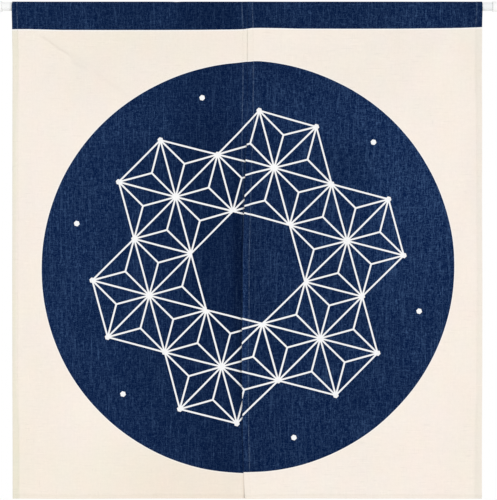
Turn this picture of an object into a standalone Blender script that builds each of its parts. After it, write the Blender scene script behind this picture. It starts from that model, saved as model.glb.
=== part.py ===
"""A noren: a short doorway curtain of two hemmed panels, sewn together at the top of
the middle and open below it, hanging by a folded rod pocket from a plain round rod.

Metres, +Z up. The front faces -Y, +X is to the viewer's right, and the origin is on
the rod's axis at the middle of the curtain.
"""

import math

import bpy

# ---------------------------------------------------------------- driving sizes
CLOTH_WIDTH = 0.851  # both panels, edge to edge
CLOTH_DROP = 0.900  # top of the pocket to the bottom hem's edge
CLOTH_THICK = 0.0010
SEAM_GAP = 0.0003  # between the two panels along the sewn middle
PIECE_GAP = 0.0003

ROD_RADIUS = 0.0077
ROD_SIDES = 40
ROD_LENGTH = 0.888

PAD_RADIUS = 0.0093
PAD_TIP_RADIUS = 0.0084
PAD_LENGTH = 0.0130
PAD_COLLAR = 0.0046  # the straight part, before the pad tapers to its tip
PAD_ROUND = 0.0007
PAD_SIDES = 32

POCKET_RADIUS = 0.0087  # middle of the cloth, where it goes round the rod
POCKET_STITCH_Z = -0.0355  # the row of stitches that closes the pocket
POCKET_LAYER_Y = 0.00075  # middle of each layer from the mid-plane at the stitches
POCKET_TAIL = 0.0020  # turned-in edge below the stitches
SWAY_START_Z = -0.045  # the cloth is held flat above this
SWAY_FULL_Z = -0.160
HANG_BACK = 0.0025  # the body hangs this far behind the face of the stitched pocket

TOP_Z = POCKET_RADIUS + CLOTH_THICK / 2
BOTTOM_Z = TOP_Z - CLOTH_DROP

# How the inner edges part below the end of the middle seam. The right panel laps in
# front of the left one. All in metres.
SPLIT = [
    # z, left edge goes back, right edge comes forward, right edge laps over
    dict(z=-0.232, back=0.0000, forward=0.0000, lap=0.0000),
    dict(z=-0.246, back=0.0012, forward=0.0016, lap=0.0000),
    dict(z=-0.260, back=0.0014, forward=0.0024, lap=0.0018),
    dict(z=-0.280, back=0.0014, forward=0.0027, lap=0.0044),
    dict(z=-0.330, back=0.0014, forward=0.0029, lap=0.0058),
    dict(z=-0.425, back=0.0014, forward=0.0030, lap=0.0070),
    dict(z=-0.600, back=0.0014, forward=0.0030, lap=0.0071),
    dict(z=-0.770, back=0.0014, forward=0.0028, lap=0.0077),
    dict(z=BOTTOM_Z, back=0.0014, forward=0.0026, lap=0.0052),
]
LEFT_CURL_REACH = 0.058  # how far from its edge the left panel is drawn back
RIGHT_CURL_REACH = 0.030

# The outer edges and the bottom edge are not quite straight.
SIDES = [
    # z, how far each panel's outer edge stands out
    dict(z=TOP_Z, left=-0.0001, right=-0.0005),
    dict(z=-0.024, left=0.0006, right=-0.0002),
    dict(z=-0.097, left=-0.0002, right=-0.0003),
    dict(z=-0.206, left=0.0002, right=0.0002),
    dict(z=-0.350, left=0.0004, right=0.0000),
    dict(z=-0.495, left=0.0006, right=0.0005),
    dict(z=-0.640, left=0.0003, right=0.0002),
    dict(z=-0.785, left=0.0001, right=-0.0006),
    dict(z=BOTTOM_Z, left=0.0000, right=-0.0005),
]

# Soft swells of the hanging cloth: depth is towards the back, minus is forward.
SWELLS = [
    dict(panel="left", x=-0.325, z=-0.560, wide=0.085, tall=0.330, depth=-0.0042),
    dict(panel="left", x=-0.210, z=-0.620, wide=0.060, tall=0.300, depth=0.0030),
    dict(panel="left", x=-0.120, z=-0.430, wide=0.050, tall=0.240, depth=-0.0026),
    dict(panel="left", x=-0.150, z=-0.860, wide=0.110, tall=0.110, depth=0.0048),
    dict(panel="left", x=-0.400, z=-0.820, wide=0.050, tall=0.160, depth=0.0028),
    dict(panel="right", x=0.110, z=-0.520, wide=0.055, tall=0.280, depth=0.0026),
    dict(panel="right", x=0.215, z=-0.640, wide=0.080, tall=0.300, depth=-0.0040),
    dict(panel="right", x=0.330, z=-0.380, wide=0.070, tall=0.230, depth=0.0028),
    dict(panel="right", x=0.385, z=-0.760, wide=0.060, tall=0.200, depth=-0.0030),
    dict(panel="right", x=0.090, z=-0.850, wide=0.080, tall=0.100, depth=-0.0024),
]

# Creases left from folding and hanging, each a soft trough or ridge along a line.
CREASES = [
    dict(panel="left", x0=-0.388, z0=-0.046, x1=-0.315, z1=-0.103, wide=0.017, depth=0.0018),
    dict(panel="left", x0=-0.315, z0=-0.103, x1=-0.222, z1=-0.166, wide=0.020, depth=0.0012),
    dict(panel="right", x0=0.345, z0=-0.070, x1=0.255, z1=-0.190, wide=0.026, depth=-0.0014),
    dict(panel="right", x0=0.405, z0=-0.120, x1=0.390, z1=-0.330, wide=0.026, depth=0.0016),
]

# Where the sheet's columns stand, as shares of the panel from its inner edge.
COLUMNS = [0.0, 0.014, 0.036, 0.066, 0.104, 0.155, 0.225, 0.300,
           0.380, 0.465, 0.555, 0.650, 0.750, 0.855, 1.0]
BODY_ROWS = 26
ARC_ROWS = 10  # over the rod
FLANK_ROWS = 5  # each side of the pocket


# ---------------------------------------------------------------- small helpers
def ease(t):
    """0 to 1 with no slope at either end."""
    t = min(1.0, max(0.0, t))
    return t * t * (3.0 - 2.0 * t)


def from_table(rows, z, column):
    """A column of a table whose rows go down in z, eased from row to row."""
    if z >= rows[0]["z"]:
        return rows[0][column]
    for above, below in zip(rows, rows[1:]):
        if z >= below["z"]:
            t = (above["z"] - z) / (above["z"] - below["z"])
            return above[column] + (below[column] - above[column]) * (t + ease(t)) / 2
    return rows[-1][column]


def bell(distance, reach):
    return math.exp(-((distance / reach) ** 2))


def line_distance(x, z, row):
    """From a point to a crease's line, as seen from the front."""
    dx, dz = row["x1"] - row["x0"], row["z1"] - row["z0"]
    t = ((x - row["x0"]) * dx + (z - row["z0"]) * dz) / (dx * dx + dz * dz)
    t = min(1.0, max(0.0, t))
    return math.hypot(x - row["x0"] - t * dx, z - row["z0"] - t * dz)


# ---------------------------------------------------------------- the cloth's shape
def edge_places(panel, z):
    """(inner, outer) x of a panel's edges at a height."""
    half = CLOTH_WIDTH / 2
    if panel == "left":
        return -SEAM_GAP / 2, -half - from_table(SIDES, z, "left")
    return SEAM_GAP / 2 - from_table(SPLIT, z, "lap"), half + from_table(SIDES, z, "right")


def sway(panel, x, z):
    """How far the hanging cloth stands behind its plane at a point."""
    y = 0.0
    for row in SWELLS:
        if row["panel"] == panel:
            across, down = (x - row["x"]) / row["wide"], (z - row["z"]) / row["tall"]
            y += row["depth"] * math.exp(-across * across - down * down)
    y *= ease((SWAY_START_Z - z) / (SWAY_START_Z - SWAY_FULL_Z))
    for row in CREASES:
        if row["panel"] == panel:
            y += row["depth"] * bell(line_distance(x, z, row), row["wide"])
    y *= ease((SWAY_START_Z - z) / 0.020)
    hang = HANG_BACK * ease((SWAY_START_Z - z) / 0.090)
    inner = edge_places(panel, z)[0]
    if panel == "left":
        calm = 1.0 - 0.8 * bell(x - inner, LEFT_CURL_REACH)
        return hang + y * calm + from_table(SPLIT, z, "back") * bell(x - inner, LEFT_CURL_REACH)
    calm = 1.0 - 0.8 * bell(x - inner, RIGHT_CURL_REACH)
    return hang + y * calm - from_table(SPLIT, z, "forward") * bell(x - inner, RIGHT_CURL_REACH)


def section():
    """The panel's section from the bottom hem up, over the rod and down to the tail
    of the pocket: (z, layer y) pairs. The front layer has y below 0."""
    points = []
    for i in range(BODY_ROWS):
        t = i / BODY_ROWS
        points.append((BOTTOM_Z + (POCKET_STITCH_Z - BOTTOM_Z) * t, -POCKET_LAYER_Y))
    split_rows = [row["z"] for row in SPLIT[:4]]
    points = [p for p in points if all(abs(p[0] - z) > 0.016 for z in split_rows)]
    points += [(z, -POCKET_LAYER_Y) for z in split_rows]
    points.sort()

    def flank(t):
        return POCKET_LAYER_Y + (POCKET_RADIUS - POCKET_LAYER_Y) * ease(t)

    for i in range(FLANK_ROWS):
        t = i / FLANK_ROWS
        points.append((POCKET_STITCH_Z * (1 - t), -flank(t)))
    for i in range(ARC_ROWS + 1):
        a = math.pi * i / ARC_ROWS
        points.append((POCKET_RADIUS * math.sin(a), -POCKET_RADIUS * math.cos(a)))
    for i in range(1, FLANK_ROWS + 1):
        t = 1 - i / FLANK_ROWS
        points.append((POCKET_STITCH_Z * (1 - t), flank(t)))
    points.append((POCKET_STITCH_Z - POCKET_TAIL, POCKET_LAYER_Y))
    return points


# ---------------------------------------------------------------- building
def clear_scene():
    for thing in list(bpy.data.objects):
        bpy.data.objects.remove(thing, do_unlink=True)


def principled(name, colour, roughness, metallic=0.0):
    material = bpy.data.materials.new(name)
    material.use_nodes = True
    shader = material.node_tree.nodes["Principled BSDF"]
    shader.inputs["Base Color"].default_value = (*colour, 1.0)
    shader.inputs["Roughness"].default_value = roughness
    shader.inputs["Metallic"].default_value = metallic
    material.diffuse_color = (*colour, 1.0)
    return material


def into(collection, thing):
    for other in list(thing.users_collection):
        other.objects.unlink(thing)
    collection.objects.link(thing)


def make_panel(panel, collection, material):
    """One panel: a grid laid along the section, made as thick as the cloth."""
    rows = section()
    across, along = len(COLUMNS) - 1, len(rows) - 1
    bpy.ops.mesh.primitive_grid_add(x_subdivisions=across, y_subdivisions=along, size=2.0)
    sheet = bpy.context.object
    sheet.name = sheet.data.name = "panel_" + panel
    for vertex in sheet.data.vertices:
        column = round((vertex.co.x + 1.0) / 2.0 * across)
        row = round((vertex.co.y + 1.0) / 2.0 * along)
        z, layer = rows[row]
        share = COLUMNS[column] if panel == "right" else COLUMNS[across - column]
        in_body = row < along / 2 and z < POCKET_STITCH_Z
        inner, outer = edge_places(panel, z)
        x = inner + (outer - inner) * share
        vertex.co = (x, layer + (sway(panel, x, z) if in_body else 0.0), z)
    thick = sheet.modifiers.new("cloth thickness", "SOLIDIFY")
    thick.thickness = CLOTH_THICK
    thick.offset = 0.0
    thick.use_even_offset = True
    sheet.data.materials.append(material)
    sheet.data.shade_smooth()
    into(collection, sheet)
    return sheet


def make_rod(collection, material):
    bpy.ops.mesh.primitive_cylinder_add(
        vertices=ROD_SIDES, radius=ROD_RADIUS, depth=ROD_LENGTH, rotation=(0.0, math.pi / 2, 0.0)
    )
    rod = bpy.context.object
    rod.name = rod.data.name = "rod"
    edge = rod.modifiers.new("eased ends", "BEVEL")
    edge.width = 0.0005
    edge.segments = 2
    edge.limit_method = "ANGLE"
    edge.angle_limit = math.radians(60)
    rod.data.materials.append(material)
    rod.data.shade_smooth()
    rod.data.set_sharp_from_angle(angle=math.radians(35))
    into(collection, rod)


def pad_profile():
    """The pad's outline from the axis at its tip, down its outer side, to the axis at
    its collar: (radius, height) pairs, the collar's face at height 0."""
    points = [(0.0, PAD_LENGTH)]
    for i in range(4):
        a = math.pi / 2 * (1 - i / 3)
        points.append((PAD_TIP_RADIUS - PAD_ROUND + PAD_ROUND * math.cos(a),
                       PAD_LENGTH - PAD_ROUND + PAD_ROUND * math.sin(a)))
    points.append((PAD_RADIUS, PAD_COLLAR))
    for i in range(4):
        a = -math.pi / 2 * i / 3
        points.append((PAD_RADIUS - PAD_ROUND + PAD_ROUND * math.cos(a),
                       PAD_ROUND + PAD_ROUND * math.sin(a)))
    points.append((0.0, 0.0))
    return points


def make_pad(side, collection, material):
    """A turned pad on the rod's end; side is -1 for the left end and 1 for the right."""
    outline = pad_profile()
    mesh = bpy.data.meshes.new("rod_end_" + ("left" if side < 0 else "right"))
    mesh.from_pydata([(r, 0.0, h) for r, h in outline],
                     [(i, i + 1) for i in range(len(outline) - 1)], [])
    pad = bpy.data.objects.new(mesh.name, mesh)
    pad.rotation_euler = (0.0, side * math.pi / 2, 0.0)
    pad.location = (side * (ROD_LENGTH / 2 + PIECE_GAP), 0.0, 0.0)
    turn = pad.modifiers.new("turned", "SCREW")
    turn.axis = "Z"
    turn.angle = 2 * math.pi
    turn.steps = turn.render_steps = PAD_SIDES
    turn.use_merge_vertices = True
    turn.merge_threshold = 0.00002
    turn.use_smooth_shade = True
    mesh.materials.append(material)
    collection.objects.link(pad)


def build():
    clear_scene()
    collection = bpy.data.collections.new("noren_curtain_on_rod")
    bpy.context.scene.collection.children.link(collection)
    cloth = principled("woven_cloth", (0.88, 0.82, 0.71), 0.92)
    white = principled("white_lacquer", (0.84, 0.84, 0.83), 0.35)
    pads = principled("white_plastic", (0.82, 0.82, 0.81), 0.45)
    make_panel("left", collection, cloth)
    make_panel("right", collection, cloth)
    make_rod(collection, white)
    for side in (-1, 1):
        make_pad(side, collection, pads)


build()
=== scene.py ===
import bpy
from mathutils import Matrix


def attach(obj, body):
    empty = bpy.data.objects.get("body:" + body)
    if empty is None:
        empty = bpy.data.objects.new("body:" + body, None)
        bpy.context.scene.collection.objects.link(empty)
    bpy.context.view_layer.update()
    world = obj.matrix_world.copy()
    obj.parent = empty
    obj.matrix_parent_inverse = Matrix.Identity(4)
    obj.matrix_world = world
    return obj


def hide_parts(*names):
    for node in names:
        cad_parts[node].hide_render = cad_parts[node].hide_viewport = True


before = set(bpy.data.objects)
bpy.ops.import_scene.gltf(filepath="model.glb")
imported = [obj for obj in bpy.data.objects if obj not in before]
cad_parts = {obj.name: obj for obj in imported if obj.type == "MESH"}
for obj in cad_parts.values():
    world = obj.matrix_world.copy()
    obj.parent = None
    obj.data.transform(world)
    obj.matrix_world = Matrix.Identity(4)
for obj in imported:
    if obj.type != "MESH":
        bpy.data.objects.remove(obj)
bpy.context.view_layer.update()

# A noren: two hemmed panels of woven cloth, sewn together at the top of the middle,
# on a plain white rod. Metres, +Z up, the printed face looks along -Y, and the origin
# is on the rod's axis at the middle of the curtain.
import math

import bpy
import numpy as np
from mathutils import Vector

# ============================================================ sizes
MM = 0.001
CLOTH_WIDTH = 0.851
CLOTH_DROP = 0.900
SEAM_GAP = 0.0003
ROD_RADIUS = 0.0077
ROD_LENGTH = 0.888
PAD_RADIUS, PAD_TIP_RADIUS, PAD_LENGTH, PAD_COLLAR = 0.0093, 0.0084, 0.0130, 0.0046
PIECE_GAP = 0.0001

TOP_Z = 0.0090
BOTTOM_Z = TOP_Z - CLOTH_DROP
STITCH_Z = -0.0355
PIX = 0.0018105  # one pixel of the reference view, on the cloth

SHEET = 0.42 * MM  # the visible cloth's thickness
LAYER = 0.70 * MM  # from the cloth to a hem folded behind it
POCKET_R = 8.68 * MM
POCKET_LAYER = 0.75 * MM
SIDE_HEM = 12.8 * MM
BOTTOM_HEM = 7.6 * MM
BOTTOM_STITCH = 6.6 * MM

# How the inner edges part below the middle seam; the right panel laps over the left.
SPLIT = [
    # z, left edge goes back and reaches under, right edge comes forward and laps over
    dict(z=-0.222, back=0.0000, under=0.0000, forward=0.0000, lap=0.0000),
    dict(z=-0.239, back=0.0010, under=0.0000, forward=0.0015, lap=0.0003),
    dict(z=-0.254, back=0.0013, under=0.0000, forward=0.0027, lap=0.0013),
    dict(z=-0.268, back=0.0014, under=0.0003, forward=0.0034, lap=0.0030),
    dict(z=-0.297, back=0.0014, under=0.0010, forward=0.0038, lap=0.0035),
    dict(z=-0.330, back=0.0014, under=0.0018, forward=0.0038, lap=0.0049),
    dict(z=-0.366, back=0.0014, under=0.0025, forward=0.0042, lap=0.0054),
    dict(z=-0.395, back=0.0014, under=0.0028, forward=0.0044, lap=0.0067),
    dict(z=-0.453, back=0.0014, under=0.0028, forward=0.0046, lap=0.0084),
    dict(z=-0.554, back=0.0014, under=0.0028, forward=0.0046, lap=0.0086),
    dict(z=-0.585, back=0.0014, under=0.0028, forward=0.0052, lap=0.0098),
    dict(z=-0.665, back=0.0013, under=0.0028, forward=0.0054, lap=0.0100),
    dict(z=-0.712, back=0.0010, under=0.0028, forward=0.0046, lap=0.0091),
    dict(z=-0.770, back=0.0007, under=0.0028, forward=0.0027, lap=0.0085),
    dict(z=-0.829, back=0.0003, under=0.0024, forward=0.0013, lap=0.0072),
    dict(z=-0.862, back=0.0003, under=0.0019, forward=0.0010, lap=0.0063),
    dict(z=-0.876, back=0.0006, under=0.0017, forward=0.0016, lap=0.0053),
    dict(z=BOTTOM_Z, back=0.0012, under=0.0015, forward=0.0027, lap=0.0042),
]
LEFT_CURL_REACH = 0.048
RIGHT_CURL_REACH = 0.024
CALM = 0.013  # the strip along each inner edge where one panel lies on the other

SIDES = [
    # z, how far each panel's outer edge stands out
    dict(z=TOP_Z, left=-0.0001, right=-0.0005),
    dict(z=-0.024, left=0.0006, right=-0.0002),
    dict(z=-0.097, left=-0.0004, right=-0.0003),
    dict(z=-0.206, left=0.0000, right=0.0002),
    dict(z=-0.350, left=0.0001, right=0.0000),
    dict(z=-0.495, left=0.0002, right=0.0005),
    dict(z=-0.640, left=0.0001, right=0.0002),
    dict(z=-0.785, left=-0.0001, right=-0.0006),
    dict(z=BOTTOM_Z, left=-0.0001, right=-0.0005),
]

BOTTOM_EDGE = [
    # how far the bottom edge hangs below its place
    dict(x=-0.4255, drop=0.0008), dict(x=-0.3930, drop=0.0007), dict(x=-0.3390, drop=0.0006),
    dict(x=-0.2665, drop=0.0007), dict(x=-0.1760, drop=0.0010), dict(x=-0.0855, drop=0.0006),
    dict(x=-0.0310, drop=0.0007), dict(x=0.0230, drop=0.0004), dict(x=0.0955, drop=-0.0002),
    dict(x=0.1860, drop=0.0001), dict(x=0.2765, drop=0.0002), dict(x=0.3490, drop=0.0003),
    dict(x=0.4032, drop=0.0004), dict(x=0.4255, drop=0.0004),
]

STITCHES = {
    # how far in from its edge each side hem's row of stitches runs, down the curtain
    ("left", "inner"): [
        dict(z=0.003, c=0.0097), dict(z=-0.012, c=0.0094), dict(z=-0.019, c=0.0086),
        dict(z=-0.034, c=0.0080), dict(z=-0.156, c=0.0080), dict(z=-0.167, c=0.0087),
        dict(z=-0.190, c=0.0090), dict(z=-0.212, c=0.0094), dict(z=-0.234, c=0.0097),
        dict(z=-0.256, c=0.0102), dict(z=-0.280, c=0.0104), dict(z=-0.305, c=0.0092),
        dict(z=-0.340, c=0.0098), dict(z=-0.480, c=0.0092), dict(z=-0.680, c=0.0098),
        dict(z=-0.780, c=0.0094), dict(z=-0.829, c=0.0082), dict(z=-0.862, c=0.0070),
        dict(z=BOTTOM_Z, c=0.0066),
    ],
    ("left", "outer"): [
        dict(z=0.003, c=0.0094), dict(z=-0.034, c=0.0101), dict(z=-0.160, c=0.0098),
        dict(z=-0.420, c=0.0102), dict(z=-0.650, c=0.0097), dict(z=BOTTOM_Z, c=0.0105),
    ],
    ("right", "inner"): [
        dict(z=0.003, c=0.0092), dict(z=-0.004, c=0.0093), dict(z=-0.019, c=0.0097),
        dict(z=-0.026, c=0.0102), dict(z=-0.034, c=0.0105), dict(z=-0.113, c=0.0109),
        dict(z=-0.146, c=0.0111), dict(z=-0.168, c=0.0104), dict(z=-0.190, c=0.0111),
        dict(z=-0.212, c=0.0116), dict(z=-0.234, c=0.0109), dict(z=-0.300, c=0.0114),
        dict(z=-0.600, c=0.0119), dict(z=-0.720, c=0.0112), dict(z=BOTTOM_Z, c=0.0108),
    ],
    ("right", "outer"): [
        dict(z=0.003, c=0.0104), dict(z=-0.012, c=0.0108), dict(z=-0.030, c=0.0117),
        dict(z=-0.110, c=0.0112), dict(z=-0.220, c=0.0100), dict(z=-0.480, c=0.0097),
        dict(z=-0.700, c=0.0102), dict(z=BOTTOM_Z, c=0.0113),
    ],
}

SWELLS = [
    # depth is towards the back, minus is forward
    dict(panel="left", x=-0.325, z=-0.560, wide=0.085, tall=0.330, depth=-0.0042),
    dict(panel="left", x=-0.210, z=-0.620, wide=0.060, tall=0.300, depth=0.0030),
    dict(panel="left", x=-0.120, z=-0.430, wide=0.050, tall=0.240, depth=-0.0026),
    dict(panel="left", x=-0.150, z=-0.860, wide=0.110, tall=0.110, depth=0.0048),
    dict(panel="left", x=-0.400, z=-0.820, wide=0.050, tall=0.160, depth=0.0028),
    dict(panel="right", x=0.110, z=-0.520, wide=0.055, tall=0.280, depth=0.0026),
    dict(panel="right", x=0.215, z=-0.640, wide=0.080, tall=0.300, depth=-0.0040),
    dict(panel="right", x=0.330, z=-0.380, wide=0.070, tall=0.230, depth=0.0028),
    dict(panel="right", x=0.385, z=-0.760, wide=0.060, tall=0.200, depth=-0.0030),
    dict(panel="right", x=0.090, z=-0.850, wide=0.080, tall=0.100, depth=-0.0024),
]

CREASES = [
    # main creases, as in the solids, then finer ones
    dict(panel="left", x0=-0.388, z0=-0.046, x1=-0.315, z1=-0.103, wide=0.017, depth=0.0015),
    dict(panel="left", x0=-0.315, z0=-0.103, x1=-0.222, z1=-0.166, wide=0.020, depth=0.0011),
    dict(panel="right", x0=0.345, z0=-0.070, x1=0.255, z1=-0.190, wide=0.026, depth=-0.0014),
    dict(panel="right", x0=0.405, z0=-0.120, x1=0.390, z1=-0.330, wide=0.026, depth=0.0016),
    dict(panel="left", x0=-0.3810, z0=-0.0490, x1=-0.3165, z1=-0.0930, wide=0.0034, depth=0.0012),
    dict(panel="left", x0=-0.3165, z0=-0.0950, x1=-0.2760, z1=-0.1170, wide=0.0056, depth=0.0008),
    dict(panel="left", x0=-0.262, z0=-0.118, x1=-0.214, z1=-0.155, wide=0.0085, depth=-0.0005),
]

# ============================================================ small helpers
def ease(t):
    t = np.clip(t, 0.0, 1.0)
    return t * t * (3.0 - 2.0 * t)


def from_table(rows, z, column):
    """A column of a table whose rows go down in z, eased from row to row."""
    z = np.asarray(z, float)
    out = np.full(z.shape, rows[0][column], float)
    for above, below in zip(rows, rows[1:]):
        t = np.clip((above["z"] - z) / (above["z"] - below["z"]), 0.0, 1.0)
        step = above[column] + (below[column] - above[column]) * (t + ease(t)) / 2
        out = np.where(z < above["z"], step, out)
    return out


def bell(distance, reach):
    return np.exp(-((distance / reach) ** 2))


def line_distance(x, z, row):
    dx, dz = row["x1"] - row["x0"], row["z1"] - row["z0"]
    t = np.clip(((x - row["x0"]) * dx + (z - row["z0"]) * dz) / (dx * dx + dz * dz), 0, 1)
    return np.hypot(x - row["x0"] - t * dx, z - row["z0"] - t * dz)


def lattice(ix, iy, seed):
    """Repeatable random numbers from -1 to 1 on a lattice."""
    h = (ix.astype(np.int64) * 374761393 + iy.astype(np.int64) * 668265263 + seed * 974634777) & 0xFFFFFFFF
    h = ((h ^ (h >> 13)) * 1274126177) & 0xFFFFFFFF
    h ^= h >> 16
    return (h & 0xFFFFFF) / float(0x7FFFFF) - 1.0


def soft_noise(x, y, seed):
    """Smooth noise from about -1 to 1 with features one unit across."""
    x, y = np.asarray(x, float), np.asarray(y, float)
    ix, iy = np.floor(x), np.floor(y)
    fx, fy = x - ix, y - iy
    fx, fy = fx * fx * fx * (fx * (fx * 6 - 15) + 10), fy * fy * fy * (fy * (fy * 6 - 15) + 10)
    a, b = lattice(ix, iy, seed), lattice(ix + 1, iy, seed)
    c, d = lattice(ix, iy + 1, seed), lattice(ix + 1, iy + 1, seed)
    return (a * (1 - fx) + b * fx) * (1 - fy) + (c * (1 - fx) + d * fx) * fy


# ============================================================ the cloth's shape
def edge_places(panel, z):
    half = CLOTH_WIDTH / 2
    if panel == "left":
        return -SEAM_GAP / 2 + from_table(SPLIT, z, "under"), -half - from_table(SIDES, z, "left")
    return SEAM_GAP / 2 - from_table(SPLIT, z, "lap"), half + from_table(SIDES, z, "right")


def sway(panel, x, z):
    """How far the hanging cloth stands behind its plane: swells, creases, the curl of
    the inner edge, and small unevenness."""
    y = np.zeros_like(x)
    for row in SWELLS:
        if row["panel"] == panel:
            y += row["depth"] * np.exp(-(((x - row["x"]) / row["wide"]) ** 2) - ((z - row["z"]) / row["tall"]) ** 2)
    y *= ease((-0.045 - z) / 0.115)
    for row in CREASES:
        if row["panel"] == panel:
            y += row["depth"] * bell(line_distance(x, z, row), row["wide"])
    seed = 11 if panel == "left" else 37
    y += 0.00060 * soft_noise(x / 0.075, z / 0.120, seed)
    y += 0.00028 * soft_noise(x / 0.034, z / 0.052, seed + 1)
    y += 0.00009 * soft_noise(x / 0.014, z / 0.020, seed + 2)
    y *= ease((-0.045 - z) / 0.020)
    hang = 0.0025 * ease((-0.045 - z) / 0.090)
    inner, outer = edge_places(panel, z)
    reach = LEFT_CURL_REACH if panel == "left" else RIGHT_CURL_REACH
    away = np.abs(x - inner)
    calm = 1.0 - ease((away - CALM) / 0.030)
    near = bell(np.maximum(away - CALM, 0.0), reach)
    y *= 1.0 - 0.97 * calm
    if panel == "left":
        y += from_table(SPLIT, z, "back") * near
    else:
        y -= from_table(SPLIT, z, "forward") * near
    # the edges draw a little unevenly along their stitches
    for edge, seed_edge, size in ((inner, seed + 5, 0.00004), (outer, seed + 6, 0.00030)):
        free = ease((-0.05 - z) / 0.05)
        y += size * free * bell(x - edge, 0.016) * soft_noise(z / 0.021, x * 0 + 3.5, seed_edge)
    low = bell(z - BOTTOM_Z, 0.016) * (1.0 - calm)
    y += 0.00034 * low * soft_noise(x / 0.024, z * 0 + 7.5, seed + 7)
    # the row under the pocket is gathered very slightly by its stitches
    under = bell(z - STITCH_Z, 0.020) * ease((-0.0365 - z) / 0.006)
    y += 0.00026 * under * soft_noise(x / 0.011, z * 0 + 1.5, seed + 8)
    return y + hang


def stitch_place(panel, edge, s):
    """How far in from its edge a side hem is stitched, at flat height s."""
    rows = STITCHES[panel, edge][::-1]
    return np.interp(np.asarray(s, float) + BOTTOM_Z, [r["z"] for r in rows], [r["c"] for r in rows])


def columns(width):
    """The sheet's columns, from the turned-under strip at the inner edge to the one at
    the outer edge: flat place c, offsets in from each edge, and depth behind."""
    r = LAYER / 2
    quarter = math.pi * r / 2
    rows = []
    for t in np.linspace(SIDE_HEM, 0.0006, 5):
        rows.append((-quarter - t, r + t, LAYER))
    for k in range(5):
        a = math.pi * (1 - k / 4)
        rows.append((-(a - math.pi / 2) * r, r - r * math.sin(a), r - r * math.cos(a)))
    inner = np.array(rows)
    fine = np.arange(quarter + 0.0012, 0.0152, 0.0012)
    middle = np.linspace(fine[-1], width - fine[-1], 112)[1:-1]
    front = np.concatenate([fine, middle, width - fine[::-1]])
    c = np.concatenate([inner[:, 0], front, (width - inner[::-1, 0])])
    slack = quarter - r
    from_inner = np.concatenate([inner[:, 1], front - slack, np.full(len(inner), np.nan)])
    from_outer = np.concatenate([np.full(len(inner), np.nan), width - front - slack, inner[::-1, 1]])
    depth = np.concatenate([inner[:, 2], np.zeros(len(front)), inner[::-1, 2]])
    return c, from_inner, from_outer, depth


POCKET_ROWS = 43  # rows of the section above the body: both flanks, the arc, the tail


def section_rows():
    """The section up the body, over the rod and down behind: flat place s from the
    bottom fold, and (y, z) of the cloth's middle. The bottom hem is added by depth."""
    z = [BOTTOM_Z + 0.0014]
    while z[-1] < BOTTOM_Z + 0.0125:
        z.append(z[-1] + 0.0013)
    z = z[:-1] + list(np.linspace(z[-1], STITCH_Z, 228))
    y = [-POCKET_LAYER] * len(z)
    span = POCKET_R - POCKET_LAYER
    for t in np.linspace(0, 1, 13)[1:]:
        z.append(STITCH_Z * (1 - t))
        y.append(-(POCKET_LAYER + span * float(ease(t))))
    for a in np.linspace(0, math.pi, 19)[1:]:
        z.append(POCKET_R * math.sin(a))
        y.append(-POCKET_R * math.cos(a))
    for t in np.linspace(1, 0, 13)[1:]:
        z.append(STITCH_Z * (1 - t))
        y.append(POCKET_LAYER + span * float(ease(t)))
    z.append(STITCH_Z - 0.0020)
    y.append(POCKET_LAYER)
    return np.array(y), np.array(z)


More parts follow.
